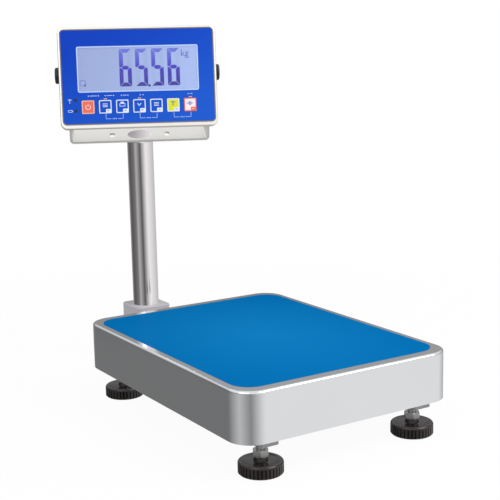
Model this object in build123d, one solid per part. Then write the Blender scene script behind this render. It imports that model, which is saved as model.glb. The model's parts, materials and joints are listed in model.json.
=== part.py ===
from build123d import *
import math
import os

# A bench platform scale: a load cell in a steel base carries a lift-off stainless pan, and a
# column behind the pan carries a tilting indicator. Millimetres, +Z up, floor at z = 0.
# The operator stands at -Y. The indicator is swung towards the left, as it was found.

# Platform
pan_width = 300.0
pan_depth = 400.0
platform_height = 104.5
pan_skirt = 60.5
pan_sheet = 1.5
pan_corner_radius = 30.0
pan_edge_radius = 3.0
cover_width = 280.0
cover_depth = 370.0
cover_corner_radius = 26.0
cover_thickness = 0.6

# Base frame
rail_spacing = 219.0
rail_length = 382.0
rail_width = 26.0
rail_height = 25.0
rail_ground_clearance = 36.0
rail_wall = 2.0
beam_width = 40.0
beam_height = 19.5
beam_wall = 2.0
front_beam_y = -120.0
cell_beam_y = 48.0
rear_beam_y = 150.0

# Load cell and what it carries
cell_length = 130.0
cell_width = 30.0
cell_height = 22.0
cell_hole_spacing = 15.0
cell_first_hole = 9.0
cell_lobe_radius = 7.0
cell_lobe_spacing = 34.0
cell_slot = 2.0
cell_screw_radius = 3.0
cell_screw_head = 5.0
base_spacer_height = 3.0
top_spacer_height = 3.0
spacer_length = 34.0
spider_height = 10.0
spider_wall = 1.5
spider_spine_width = 46.0
spider_arm_width = 40.0
spider_arm_past_stop = 12.0
spider_arm_spacing = 270.0
pad_radius = 11.0
pad_spacing_x = 180.0
stop_outside_rail_middle = 6.5
stop_gap = 0.9
stop_screw_radius = 4.0
stop_head_height = 5.3
stop_head_flats = 13.0
stop_nut_height = 6.5
level_x = -70.0
level_radius = 9.0
level_height = 9.0
level_floor = 2.0
level_wall = 1.5
level_rim = 0.5
level_dome_radius = 1.2

# Levelling feet
foot_spacing_y = 342.6
foot_radius = 26.0
foot_height = 15.0
foot_rib_height = 11.5
foot_rib_count = 36
foot_rib_depth = 1.8
foot_sole_bevel = 1.5
foot_shoulder_radius = 3.0
foot_dish_start = 0.6
foot_dish_depth = 1.6
foot_collar_radius = 8.5
foot_collar_bevel = 1.0
foot_collar_seat = 1.2
foot_collar_top = 19.0
stud_radius = 5.0
stud_bottom = 5.0
stud_top = 52.0
nut_flats = 17.0
foot_nut_bottom = 19.4
foot_nut_height = 8.0
weld_nut_height = 9.0

# Column and its carrier
column_behind_platform = 314.6
carrier_width = 72.0
carrier_height = 20.0
carrier_sheet = 3.0
carrier_front_y = 30.0
carrier_overhang = 30.0
carrier_bolt_radius = 4.0
carrier_bolt_head = 5.0
carrier_bolt_spacing = 50.0
carrier_nut_flats = 13.0
carrier_nut_height = 5.5
socket_width = 55.0
socket_depth = 57.0
socket_corner_radius = 8.0
socket_below_pan = 18.5
socket_floor = 5.0
socket_slit = 2.5
socket_screw_radius = 3.0
socket_screw_head = 4.0
socket_screw_reach = 10.0
socket_screw_run_out = 2.0
socket_screw_spacing_x = 38.0
socket_screw_spacing_y = 40.0
cable_hole_radius = 8.0
clamp_screw_radius = 4.0
clamp_screw_head = 7.0
clamp_head_sink = 3.0
clamp_end_gap = 2.0
clamp_screw_height = 22.0
column_radius = 19.0
column_wall = 1.5
weld_flare = 2.5
weld_throat = 0.6

# Indicator bracket
swivel_angle = -25.5
bracket_lean = 15.0
bracket_top = 340.5
bracket_width = 201.5
bracket_depth = 50.0
bracket_sheet = 3.0
bracket_bend_radius = 3.0
bracket_slot_width = 7.0
bracket_slot_length = 17.0
bracket_slot_spacing = 80.0
arm_top_radius = 14.0
knob_axis_height = 91.5

# Indicator
panel_tilt = 7.0
panel_width = 216.0
panel_height = 133.5
panel_corner_radius = 6.0
film_thickness = 0.5
membrane_thickness = 0.8
bezel_width = 222.0
bezel_above = 69.5
bezel_below = 73.0
bezel_depth = 12.0
bezel_sheet = 1.5
bezel_corner_radius = 9.0
bezel_edge_radius = 2.0
knob_axis_behind_panel = 30.0
knob_axis_above_centre = 5.5
window_width = 168.8
window_height = 62.4
window_rise = 10.5
window_corner_radius = 2.0
window_margin = 4.0
display_depth = 9.0
display_glass = 2.5
display_glass_inset = 1.5
case_height = 112.0
case_depth = 47.0
case_sheet = 1.5
case_corner_radius = 6.0
case_edge_radius = 3.0
case_drop = 2.0
key_count = 7
key_pitch = 23.95
key_width = 17.4
key_height = 18.6
key_corner_radius = 1.5
key_rise = -42.0
key_proud = 0.5
led_x = -89.0
led_rise = (-32.0, -47.0)
led_radius = 2.2
led_reach = 3.0
lamp_board_size = (9.0, 1.6, 26.0)
knob_radius = 11.5
knob_length = 16.5
knob_dome_radius = 2.5
knob_end = 4.0
knob_flute_count = 14
knob_flute_radius = 2.0
knob_flute_depth = 1.1
knob_stud_radius = 4.0
knob_stud_reach = 12.0
washer_radius = 12.0
washer_thickness = 1.0
case_screw_radius = 2.0
case_screw_head = 2.2
case_screw_reach = 7.0
case_screw_inset_x = 6.5
case_screw_inset_z = 10.0
battery_size = (70.0, 26.0, 80.0)
battery_corner_radius = 2.0
battery_lift = 3.0
battery_terminal_spacing = 44.0
battery_strap_sheet = 1.5
battery_strap_width = 14.0
battery_strap_ear = 15.0
battery_tab = (6.3, 1.0, 6.0)
board_size = (150.0, 1.6, 84.0)
board_parts = (
    (-20.0, 8.0, 20.0, 20.0, 2.4),
    (14.0, -8.0, 26.0, 12.0, 3.0),
    (55.0, -30.0, 30.0, 9.0, 8.0),
    (-55.0, -30.0, 24.0, 9.0, 8.0),
)
board_behind_display = 4.0
board_drop = 4.0
board_post_radius = 3.0
board_post_inset = 6.0
board_post_rise = 24.0
buzzer_place = (48.0, 20.0)
buzzer_radius = 6.0
buzzer_depth = 7.5
fitting_shoulder = 2.0
gland_x = -48.0
gland_radius = 8.0
gland_bore = 2.6
gland_flange = 4.0
gland_dome = 9.0
gland_dome_radius = 2.5
gland_thread = 6.0
gland_nut_height = 3.5
jack_x = 48.0
jack_radius = 6.0
jack_body = 14.0
jack_flange = 2.5
jack_bore = 2.8
jack_floor = 7.5
jack_pin_radius = 1.0
jack_pin_sink = 1.0

# Clearances
running_fit = 0.05
screw_fit = 0.3
key_fit = 0.15
washer_fit = 0.1

# Places that follow from the sizes
rail_top = rail_ground_clearance + rail_height
foot_spacing_x = rail_spacing
stop_spacing_x = rail_spacing + 2 * stop_outside_rail_middle
spider_arm_length = stop_spacing_x + 2 * spider_arm_past_stop
beam_bottom = rail_top - beam_height
cell_bottom = rail_top + base_spacer_height
cell_top = cell_bottom + cell_height
spider_bottom = cell_top + top_spacer_height
spider_top = spider_bottom + spider_height
pan_underside = platform_height - pan_sheet
socket_top = platform_height - socket_below_pan
carrier_top = beam_bottom
carrier_bottom = carrier_top - carrier_height
arm_inside = bracket_width / 2 - bracket_sheet
case_width = 2 * (arm_inside - washer_thickness - washer_fit)
bezel_front = film_thickness + membrane_thickness
bezel_rear = bezel_front + bezel_depth
bezel_height = bezel_above + bezel_below
bezel_rise = (bezel_above - bezel_below) / 2
case_rear = bezel_rear + case_depth
case_centre_rise = knob_axis_above_centre - case_drop

# Frames: each sub-part is drawn where it is simplest and then moved to its place. The middle of
# the platform is at x = y = 0 until everything is moved to the middle of the whole footprint.
on_platform = Pos(0, 0, 0)
on_column = Pos(0, column_behind_platform, 0)
on_swivel = on_column * Rot(0, 0, swivel_angle)
on_bracket = on_swivel * Pos(0, 0, bracket_top) * Rot(bracket_lean, 0, 0)
on_knob_axis = on_bracket * Pos(0, 0, knob_axis_height) * Rot(-bracket_lean - panel_tilt, 0, 0)
on_panel = on_knob_axis * Pos(0, -knob_axis_behind_panel, -knob_axis_above_centre)

BOTTOM = (Align.CENTER, Align.CENTER, Align.MIN)


# Simple forms
def slab(width, depth, height, radius=0.0):
    """A plate on z = 0, with its four upright edges rounded."""
    outline = RectangleRounded(width, depth, radius) if radius else Rectangle(width, depth)
    return extrude(outline, height)


def disc(radius, height):
    return Cylinder(radius, height, align=BOTTOM)


def ring(outer, inner, height):
    return extrude(Circle(outer) - Circle(inner), height)


def panel_slab(width, height, radius, front, thickness):
    """A plate upright in the panel's frame, from y = front backwards."""
    return Pos(0, front + thickness, 0) * Rot(90, 0, 0) * slab(width, height, thickness, radius)


def panel_disc(radius, front, thickness):
    return Pos(0, front + thickness, 0) * Rot(90, 0, 0) * disc(radius, thickness)


def hexagon(flats, height, bore=0.0, chamfer_size=0.0):
    """A hexagon prism with chamfered corners, and a bore if it is a nut."""
    body = extrude(RegularPolygon(flats / 2, 6, major_radius=False), height)
    if chamfer_size:
        round_blank = disc(flats / math.sqrt(3), height)
        body = body & chamfer(round_blank.edges().filter_by(GeomType.CIRCLE), chamfer_size)
    if bore:
        body = body - disc(bore, height)
    return body


def at_corners(spacing_x, spacing_y, shape):
    """Four copies at the corners of a rectangle."""
    places = [(x, y) for x in (-1, 1) for y in (-1, 1)]
    return [Pos(x * spacing_x / 2, y * spacing_y / 2, 0) * shape for x, y in places]


def as_group(place, solids):
    return Compound([place * solid for solid in solids])


# Platform
def make_pan():
    body = slab(pan_width, pan_depth, pan_skirt, pan_corner_radius)
    body = fillet(body.edges().group_by(Axis.Z)[-1], pan_edge_radius)
    mouth = body.faces().sort_by(Axis.Z)[0]
    return Pos(0, 0, platform_height - pan_skirt) * offset(body, -pan_sheet, openings=mouth)


def make_cover():
    sheet = slab(cover_width, cover_depth, cover_thickness, cover_corner_radius)
    return Pos(0, 0, platform_height) * sheet


def make_rail():
    outer = slab(rail_width, rail_length, rail_height, 2 * rail_wall)
    inner_height = rail_height - 2 * rail_wall
    inner = slab(rail_width - 2 * rail_wall, rail_length - 2 * rail_wall, inner_height, rail_wall)
    rail = outer - Pos(0, 0, rail_wall) * inner
    for end in (-1, 1):
        foot_y = end * foot_spacing_y / 2
        stop_x = stop_outside_rail_middle
        stop_y = end * spider_arm_spacing / 2
        rail += Pos(0, foot_y, rail_wall) * hexagon(nut_flats, weld_nut_height)
        rail -= Pos(0, foot_y, 0) * disc(stud_radius + running_fit, rail_wall + weld_nut_height)
        stop_hole = disc(stop_screw_radius + screw_fit, rail_wall)
        rail -= Pos(stop_x, stop_y, rail_height - rail_wall) * stop_hole
    return rail


def make_beam():
    length = rail_spacing - rail_width
    outer = slab(length, beam_width, beam_height)
    inner = slab(length, beam_width - 2 * beam_wall, beam_height - 2 * beam_wall)
    return outer - Pos(0, 0, beam_wall) * inner


def cell_screw_places(end):
    """The two screw places of one end of the load cell; end is 1 at the fixed end."""
    outermost = end * (cell_length / 2 - cell_first_hole)
    return [outermost, outermost - end * cell_hole_spacing]


def carrier_bolt_places():
    columns = (-carrier_bolt_spacing / 2, carrier_bolt_spacing / 2)
    return [(x, y) for x in columns for y in (cell_beam_y, rear_beam_y)]


def make_base_frame():
    rail = make_rail()
    frame = Pos(rail_spacing / 2, 0, 0) * rail + Pos(-rail_spacing / 2, 0, 0) * mirror(rail, Plane.YZ)
    for beam_y in (front_beam_y, cell_beam_y, rear_beam_y):
        frame += Pos(0, beam_y, rail_height - beam_height) * make_beam()
    frame = Pos(0, 0, rail_ground_clearance) * frame
    through_top = Pos(0, 0, rail_top - beam_wall) * disc(cell_screw_radius + screw_fit, beam_wall)
    for screw_y in cell_screw_places(1):
        frame -= Pos(0, screw_y, 0) * through_top
        frame -= Pos(0, screw_y, beam_bottom) * disc(2 * cell_screw_radius + screw_fit, beam_wall)
    bolt_hole = disc(carrier_bolt_radius + screw_fit, beam_height)
    for x, y in carrier_bolt_places():
        frame -= Pos(x, y, beam_bottom) * bolt_hole
    return frame


def make_load_cell():
    """A single-point cell: a bar with two lobes joined by a slot, which leave thin flexures."""
    bar = Pos(0, 0, cell_bottom) * slab(cell_width, cell_length, cell_height)
    across = Rot(0, 90, 0) * Pos(-cell_bottom - cell_height / 2, 0, -cell_width / 2)
    for end in (-1, 1):
        bar -= across * Pos(0, end * cell_lobe_spacing / 2, 0) * disc(cell_lobe_radius, cell_width)
    bar -= across * slab(cell_slot, cell_lobe_spacing, cell_width)
    for end in (-1, 1):
        for screw_y in cell_screw_places(end):
            bar -= Pos(0, screw_y, cell_bottom) * disc(cell_screw_radius + running_fit, cell_height)
    return bar


def make_spacer(end, bottom, height):
    centre = end * (cell_length - spacer_length) / 2
    block = Pos(0, centre, bottom) * slab(cell_width, spacer_length, height)
    for screw_y in cell_screw_places(end):
        block -= Pos(0, screw_y, bottom) * disc(cell_screw_radius + screw_fit, height)
    return block


def make_cap_screw(radius, length, head_height):
    """A socket-head screw hanging down from the underside of its head at z = 0."""
    head = disc(1.6 * radius, head_height)
    socket_depth_in_head = head_height / 2
    recess = extrude(RegularPolygon(0.8 * radius, 6, major_radius=False), socket_depth_in_head)
    head -= Pos(0, 0, head_height - socket_depth_in_head) * recess
    return head + Pos(0, 0, -length) * disc(radius, length)


def make_base_cell_screws():
    grip = beam_wall + base_spacer_height
    screw = Rot(180, 0, 0) * make_cap_screw(cell_screw_radius, grip + cell_height / 2, cell_screw_head)
    return [Pos(0, y, rail_top - beam_wall) * screw for y in cell_screw_places(1)]


def make_top_cell_screws():
    seat = spider_bottom + spider_wall
    grip = spider_wall + top_spacer_height
    screw = make_cap_screw(cell_screw_radius, grip + cell_height / 2, cell_screw_head)
    return [Pos(0, y, seat) * screw for y in cell_screw_places(-1)]


def make_spider():
    """The load frame: a spine over the cell and two arms that carry the pads."""
    inner_height = spider_height - 2 * spider_wall
    spine = slab(spider_spine_width, spider_arm_spacing, spider_height)
    hollow = slab(spider_spine_width - 2 * spider_wall, spider_arm_spacing, inner_height)
    for end in (-1, 1):
        place = Pos(0, end * spider_arm_spacing / 2, 0)
        spine += place * slab(spider_arm_length, spider_arm_width, spider_height)
        arm_inner = slab(spider_arm_length, spider_arm_width - 2 * spider_wall, inner_height)
        hollow += place * arm_inner
    frame = spine - Pos(0, 0, spider_wall) * hollow
    for screw_y in cell_screw_places(-1):
        frame -= Pos(0, screw_y, 0) * disc(cell_screw_radius + screw_fit, spider_wall)
        driver_hole = disc(2 * cell_screw_radius + screw_fit, spider_wall)
        frame -= Pos(0, screw_y, spider_height - spider_wall) * driver_hole
    return Pos(0, 0, spider_bottom) * frame


def make_pads():
    pad = Pos(0, 0, spider_top) * disc(pad_radius, pan_underside - spider_top)
    return at_corners(pad_spacing_x, spider_arm_spacing, pad)


def make_stops():
    """Overload stops: hexagon screws whose heads stand just under the load frame."""
    head_top = spider_bottom - stop_gap
    head_bottom = head_top - stop_head_height
    head = Pos(0, 0, head_bottom) * hexagon(stop_head_flats, stop_head_height)
    shank_bottom = rail_top - rail_wall - stop_nut_height - 3 * stop_screw_radius / 4
    stop = head + Pos(0, 0, shank_bottom) * disc(stop_screw_radius, head_bottom - shank_bottom)
    return at_corners(stop_spacing_x, spider_arm_spacing, stop)


def make_stop_nuts():
    bore = stop_screw_radius + running_fit
    nut = Pos(0, 0, rail_top) * hexagon(stop_head_flats, stop_nut_height, bore)
    return at_corners(stop_spacing_x, spider_arm_spacing, nut)


def make_level_body():
    inside = Pos(0, 0, level_floor) * disc(level_radius - level_wall, level_height)
    return Pos(level_x, rear_beam_y, rail_top) * (disc(level_radius, level_height) - inside)


def make_level_vial():
    vial = disc(level_radius - level_wall - running_fit, level_height - level_floor - level_rim)
    dome = fillet(vial.edges().group_by(Axis.Z)[-1], level_dome_radius)
    return Pos(level_x, rear_beam_y, rail_top + level_floor) * dome


# Levelling feet
def make_foot_pad():
    """A ribbed disc with a rounded shoulder, a dished top and a collar round the stud."""
    shoulder = foot_shoulder_radius
    dish_radius = foot_radius - 2 * shoulder
    profile = Polyline(
        (0, 0),
        (foot_radius - foot_sole_bevel, 0),
        (foot_radius, foot_sole_bevel),
        (foot_radius, foot_height - shoulder),
    )
    crown = RadiusArc(profile @ 1, (foot_radius - shoulder, foot_height), -shoulder)
    dish_end = (foot_collar_radius + foot_collar_bevel, foot_height - foot_dish_depth)
    dish = Spline(
        [crown @ 1, (dish_radius, foot_height - foot_dish_start), dish_end],
        tangents=[(-1, 0), (-1, 0)],
    )
    rest = Polyline(
        dish @ 1,
        (foot_collar_radius, foot_height - foot_collar_seat),
        (foot_collar_radius - foot_collar_bevel, foot_collar_top),
        (0, foot_collar_top),
        (0, 0),
    )
    section = make_face(Plane.XZ * Wire([*profile.edges(), crown, dish, *rest.edges()]))
    pad = revolve(section, Axis.Z)
    half_pitch = math.pi * foot_radius / foot_rib_count / 2
    groove = Polyline(
        (foot_radius - foot_rib_depth, 0),
        (foot_radius + 1, -half_pitch),
        (foot_radius + 1, half_pitch),
        close=True,
    )
    cutter = extrude(make_face(groove), foot_rib_height)
    pad -= [place * cutter for place in PolarLocations(0, foot_rib_count)]
    return pad - Pos(0, 0, stud_bottom) * disc(stud_radius + running_fit, foot_collar_top)


def make_foot_stud():
    stud = Pos(0, 0, stud_bottom) * disc(stud_radius, stud_top - stud_bottom)
    return chamfer(stud.edges().group_by(Axis.Z)[-1], 0.8)


def make_foot_nut():
    nut = hexagon(nut_flats, foot_nut_height, stud_radius + running_fit, 1.2)
    return Pos(0, 0, foot_nut_bottom) * nut


# Column
def make_carrier():
    """A folded channel, open below, from the base frame to behind the pan."""
    length = column_behind_platform + carrier_overhang - carrier_front_y
    centre = carrier_front_y + length / 2
    channel = slab(carrier_width, length, carrier_height)
    inner = slab(carrier_width - 2 * carrier_sheet, length, carrier_height - carrier_sheet)
    channel = Pos(0, centre, carrier_bottom) * (channel - inner)
    top = carrier_top - carrier_sheet
    for x, y in carrier_bolt_places():
        channel -= Pos(x, y, top) * disc(carrier_bolt_radius + screw_fit, carrier_sheet)
    for screw_y in cell_screw_places(1):
        channel -= Pos(0, screw_y, top) * disc(2 * cell_screw_radius + screw_fit, carrier_sheet)
    socket_hole = Pos(0, 0, top) * disc(socket_screw_radius + screw_fit, carrier_sheet)
    cable_hole = Pos(0, 0, top) * disc(cable_hole_radius, carrier_sheet)
    at_column = Pos(0, column_behind_platform, 0)
    for hole in at_corners(socket_screw_spacing_x, socket_screw_spacing_y, socket_hole):
        channel -= at_column * hole
    return channel - at_column * cable_hole


def make_carrier_bolts():
    """Through bolts with a round head below and a nut on the beam."""
    length = carrier_sheet + beam_height
    bolt = Rot(180, 0, 0) * make_cap_screw(
        carrier_bolt_radius, length + carrier_nut_height + running_fit, carrier_bolt_head
    )
    return [Pos(x, y, carrier_top - carrier_sheet) * bolt for x, y in carrier_bolt_places()]


def make_carrier_nuts():
    bore = carrier_bolt_radius + running_fit
    nut = hexagon(carrier_nut_flats, carrier_nut_height, bore)
    return [Pos(x, y, rail_top) * nut for x, y in carrier_bolt_places()]


def make_socket():
    """The cast clamp block that holds the column, split at the back."""
    height = socket_top - carrier_top
    block = slab(socket_width, socket_depth, height, socket_corner_radius)
    block = chamfer(block.edges().group_by(Axis.Z)[-1], 1.0)
    block -= Pos(0, 0, socket_floor) * disc(column_radius + running_fit, height)
    block -= disc(cable_hole_radius, height)
    half_depth = socket_depth / 2
    slit = slab(socket_slit, half_depth, height)
    block -= Pos(0, half_depth / 2, socket_floor) * slit
    screw_hole = disc(
        socket_screw_radius + running_fit, socket_screw_reach + socket_screw_run_out
    )
    for hole in at_corners(socket_screw_spacing_x, socket_screw_spacing_y, screw_hole):
        block -= hole
    across = Pos(0, clamp_screw_y(), clamp_screw_height) * Rot(0, 90, 0)
    half_width = socket_width / 2
    block -= across * Pos(0, 0, -half_width) * disc(clamp_screw_radius + running_fit, socket_width)
    counterbore = disc(1.6 * clamp_screw_radius + screw_fit, half_width)
    block -= across * Pos(0, 0, half_width - clamp_head_sink) * counterbore
    return Pos(0, 0, carrier_top) * block


def clamp_screw_y():
    return column_radius + (socket_depth / 2 - column_radius) / 2 + 0.2


def make_clamp_screw():
    length = socket_width - clamp_head_sink - clamp_end_gap
    screw = Rot(0, 90, 0) * make_cap_screw(clamp_screw_radius, length, clamp_screw_head)
    x = socket_width / 2 - clamp_head_sink
    return Pos(x, clamp_screw_y(), carrier_top + clamp_screw_height) * screw


def make_socket_screws():
    length = carrier_sheet + socket_screw_reach
    screw = Rot(180, 0, 0) * make_cap_screw(socket_screw_radius, length, socket_screw_head)
    seat = Pos(0, 0, carrier_top - carrier_sheet)
    return [seat * one for one in at_corners(socket_screw_spacing_x, socket_screw_spacing_y, screw)]


def make_column_tube():
    """The column ends flush with the top of the leaning bracket plate, so it is cut aslant."""
    bottom = carrier_top + socket_floor
    length = bracket_top - bottom + column_radius
    tube = Pos(0, 0, bottom) * ring(column_radius, column_radius - column_wall, length)
    beyond = 4 * column_radius
    above = Pos(0, 0, bracket_top) * Rot(bracket_lean, 0, 0) * slab(beyond, beyond, beyond)
    return tube - above


def column_space(fit):
    """The room that the upright column takes, seen in the leaning bracket's frame."""
    return Rot(-bracket_lean, 0, 0) * Cylinder(column_radius + fit, 4 * column_radius)


def make_weld_collar():
    """The flared weld under the bracket plate, in the bracket's frame."""
    height = 2 * weld_flare
    foot_radius_of_flare = column_radius / math.cos(math.radians(bracket_lean)) + weld_throat
    flare = Cone(foot_radius_of_flare, foot_radius_of_flare + weld_flare, height, align=BOTTOM)
    return Pos(0, 0, -bracket_sheet - height) * flare - column_space(running_fit)


# Indicator bracket, in its own leaning frame with the plate's top at z = 0
def make_bracket():
    """One strip bent into a U, with round-topped arms that narrow towards the knobs."""
    height = knob_axis_height + arm_top_radius
    outer = Pos(0, 0, -bracket_sheet) * slab(bracket_width, bracket_depth, height + bracket_sheet)
    inner_width = bracket_width - 2 * bracket_sheet
    outer_bend = bracket_bend_radius + bracket_sheet
    outer = fillet(outer.edges().filter_by(Axis.Y).group_by(Axis.Z)[0], outer_bend)
    inner = slab(inner_width, bracket_depth, height)
    inner = fillet(inner.edges().filter_by(Axis.Y).group_by(Axis.Z)[0], bracket_bend_radius)
    strip = outer - inner
    half = bracket_depth / 2
    outline = Polyline(
        (-half, -bracket_sheet), (half, -bracket_sheet), (half, 2 * bracket_bend_radius),
        (arm_top_radius, knob_axis_height), (-arm_top_radius, knob_axis_height),
        (-half, 2 * bracket_bend_radius), close=True,
    )
    side = make_face(Plane.YZ * outline)
    arm_shape = Pos(-bracket_width / 2, 0, 0) * extrude(side, bracket_width, dir=(1, 0, 0))
    cap = Rot(0, 90, 0) * disc(arm_top_radius, bracket_width)
    arm_shape += Pos(-bracket_width / 2, 0, knob_axis_height) * cap
    strip = strip & arm_shape
    knob_hole = Rot(0, 90, 0) * disc(knob_stud_radius + screw_fit, bracket_width)
    strip -= Pos(-bracket_width / 2, 0, knob_axis_height) * knob_hole
    for side_sign in (-1, 1):
        place = Pos(side_sign * bracket_slot_spacing / 2, 0, -bracket_sheet)
        slot = SlotOverall(bracket_slot_length, bracket_slot_width, rotation=90)
        strip -= place * extrude(slot, bracket_sheet)
    return strip - column_space(running_fit)


# Indicator, in the panel's frame: x right, z up, y = 0 on the film and positive backwards
def window_cut(front, thickness, margin):
    width = window_width - 2 * margin
    height = window_height - 2 * margin
    return Pos(0, 0, window_rise) * panel_slab(
        width, height, window_corner_radius, front, thickness
    )


def key_places():
    return [(index - (key_count - 1) / 2) * key_pitch for index in range(key_count)]


def key_cut(x, fit, front, thickness):
    width = key_width + 2 * fit
    height = key_height + 2 * fit
    return Pos(x, 0, key_rise) * panel_slab(width, height, key_corner_radius, front, thickness)


def make_film():
    """The graphic film, open at the window, the keys and the lamps."""
    film = panel_slab(panel_width, panel_height, panel_corner_radius, 0, film_thickness)
    film -= window_cut(0, film_thickness, -key_fit)
    film -= [key_cut(x, key_fit, 0, film_thickness) for x in key_places()]
    return film - lamp_holes(0, film_thickness)


def lamp_holes(front, thickness):
    return [Pos(led_x, 0, z) * panel_disc(led_radius + key_fit, front, thickness) for z in led_rise]


def make_membrane():
    """The switch layer under the film, with a well for each key."""
    layer = panel_slab(
        panel_width, panel_height, panel_corner_radius, film_thickness, membrane_thickness
    )
    layer -= window_cut(film_thickness, membrane_thickness, -key_fit)
    layer -= [key_cut(x, key_fit, film_thickness, membrane_thickness) for x in key_places()]
    return layer - lamp_holes(film_thickness, membrane_thickness)


def make_key(x):
    return key_cut(x, 0, -key_proud, key_proud + film_thickness)


def make_window():
    return window_cut(0, bezel_front, 0)


def make_bezel():
    """A folded stainless tray whose face carries the film, with studs for the case screws."""
    tray = panel_slab(bezel_width, bezel_height, bezel_corner_radius, bezel_front, bezel_depth)
    tray = fillet(tray.edges().group_by(Axis.Y)[0], bezel_edge_radius)
    mouth = tray.faces().sort_by(Axis.Y)[-1]
    tray = Pos(0, 0, bezel_rise) * offset(tray, -bezel_sheet, openings=mouth)
    tray -= window_cut(bezel_front, bezel_sheet, window_margin)
    tray -= lamp_holes(bezel_front, bezel_sheet)
    stud = panel_disc(2 * case_screw_radius, bezel_front + bezel_sheet, stud_length())
    bore = panel_disc(case_screw_radius + running_fit, bezel_front + bezel_sheet, stud_length())
    for x, z in case_screw_places():
        tray += Pos(x, 0, z) * stud
        tray -= Pos(x, 0, z) * bore
    return tray


def stud_length():
    return bezel_depth - 2 * bezel_sheet


def case_screw_places():
    x = bezel_width / 2 - case_screw_inset_x
    top = bezel_above - case_screw_inset_z
    bottom = -bezel_below + case_screw_inset_z
    return [(side * x, z) for side in (-1, 1) for z in (bottom, bezel_rise, top)]


def make_case():
    """The rear case: a deep drawn box on a flange that closes the bezel's back."""
    gap = bezel_sheet + key_fit
    flange_front = bezel_rear - case_sheet
    flange = panel_slab(
        bezel_width - 2 * gap, bezel_height - 2 * gap, bezel_corner_radius - gap,
        flange_front, case_sheet,
    )
    flange = Pos(0, 0, bezel_rise) * flange
    centre = Pos(0, 0, case_centre_rise)
    box = panel_slab(case_width, case_height, case_corner_radius, bezel_rear, case_depth)
    box = fillet(box.edges().group_by(Axis.Y)[-1], case_edge_radius)
    mouth = box.faces().sort_by(Axis.Y)[0]
    box = centre * offset(box, -case_sheet, openings=mouth)
    inner = panel_slab(
        case_width - 2 * case_sheet, case_height - 2 * case_sheet, case_corner_radius - case_sheet,
        flange_front, case_sheet,
    )
    case = flange - centre * inner + box
    for x, z in case_screw_places():
        clear = panel_disc(case_screw_radius + screw_fit, flange_front, case_sheet)
        case -= Pos(x, 0, z) * clear
    boss_length = knob_stud_reach - washer_thickness
    for side in (-1, 1):
        start = case_width / 2 - case_sheet if side > 0 else -case_width / 2 + case_sheet
        boss = Rot(0, 90, 0) * hexagon(nut_flats, boss_length)
        bore = Rot(0, 90, 0) * disc(knob_stud_radius + running_fit, boss_length + case_sheet)
        at_axis = Pos(0, knob_axis_behind_panel, knob_axis_above_centre)
        inward = start - boss_length if side > 0 else start
        bore_start = inward if side > 0 else start - case_sheet
        case += at_axis * Pos(inward, 0, 0) * boss
        case -= at_axis * Pos(bore_start, 0, 0) * bore
    bottom = case_centre_rise - case_height / 2
    for x, radius in ((gland_x, gland_radius), (jack_x, jack_radius)):
        hole = disc(radius - fitting_shoulder + running_fit, case_sheet)
        case -= Pos(x, under_case_y(), bottom) * hole
    return case


def under_case_y():
    """The line of the gland and the charging socket on the case's underside."""
    return bezel_rear + 0.4 * case_depth


def make_case_screws():
    screw = make_cap_screw(case_screw_radius, case_screw_reach, case_screw_head)
    return [Pos(x, bezel_rear, z) * Rot(-90, 0, 0) * screw for x, z in case_screw_places()]


def make_display():
    front = bezel_front + bezel_sheet
    glass = window_cut(front, display_glass, display_glass_inset)
    frame = window_cut(front + display_glass, display_depth - display_glass, 0)
    return glass + frame


def board_front():
    return bezel_front + bezel_sheet + display_depth + board_behind_display


def make_board():
    """The main board, with its processor, connectors and buzzer."""
    length, thickness, height = board_size
    front = board_front()
    back = front + thickness
    board = panel_slab(length, height, window_corner_radius, front, thickness)
    for x, z, part_width, part_height, part_depth in board_parts:
        board += Pos(x, 0, z) * panel_slab(part_width, part_height, 0, back, part_depth)
    x, z = buzzer_place
    board += Pos(x, 0, z) * panel_disc(buzzer_radius, back, buzzer_depth)
    return Pos(0, 0, window_rise - board_drop) * board


def make_board_posts():
    """Four spacers that carry the board on the back of the display."""
    front = bezel_front + bezel_sheet + display_depth
    post = Pos(0, 0, window_rise) * panel_disc(board_post_radius, front, board_front() - front)
    x = board_size[0] / 2 - board_post_inset
    places = [(across * x, up * board_post_rise) for across in (-1, 1) for up in (-1, 1)]
    return [Pos(x, 0, z) * post for x, z in places]


def battery_bottom():
    return case_centre_rise - case_height / 2 + case_sheet + battery_lift


def make_battery():
    """The rechargeable battery, against the back of the case, with two tab terminals on top."""
    width, depth, height = battery_size
    front = case_rear - case_sheet - depth
    bottom = battery_bottom()
    case = panel_slab(width, height, battery_corner_radius, front, depth)
    battery = Pos(0, 0, bottom + height / 2) * case
    tab = slab(*battery_tab)
    for side in (-1, 1):
        battery += Pos(side * battery_terminal_spacing / 2, front + depth / 2, bottom + height) * tab
    return battery


def make_battery_strap():
    """A strap over the battery, with ears against the back of the case."""
    width, depth, height = battery_size
    back = case_rear - case_sheet
    sheet = battery_strap_sheet
    inner = panel_slab(width, battery_strap_width, 0, back - depth, depth)
    outer = panel_slab(width + 2 * sheet, battery_strap_width, 0, back - depth - sheet, depth + sheet)
    ears_width = width + 2 * battery_strap_ear
    ears = panel_slab(ears_width, battery_strap_width, 0, back - sheet, sheet)
    return Pos(0, 0, battery_bottom() + height / 2) * (outer + ears - inner)


def make_lamps():
    length = bezel_front + bezel_sheet + led_reach
    lamp = panel_disc(led_radius, 0, length)
    return [Pos(led_x, 0, z) * lamp for z in led_rise]


def make_lamp_board():
    width, thickness, height = lamp_board_size
    front = bezel_front + bezel_sheet + led_reach
    return Pos(led_x, 0, sum(led_rise) / 2) * panel_slab(width, height, 0, front, thickness)


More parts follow.
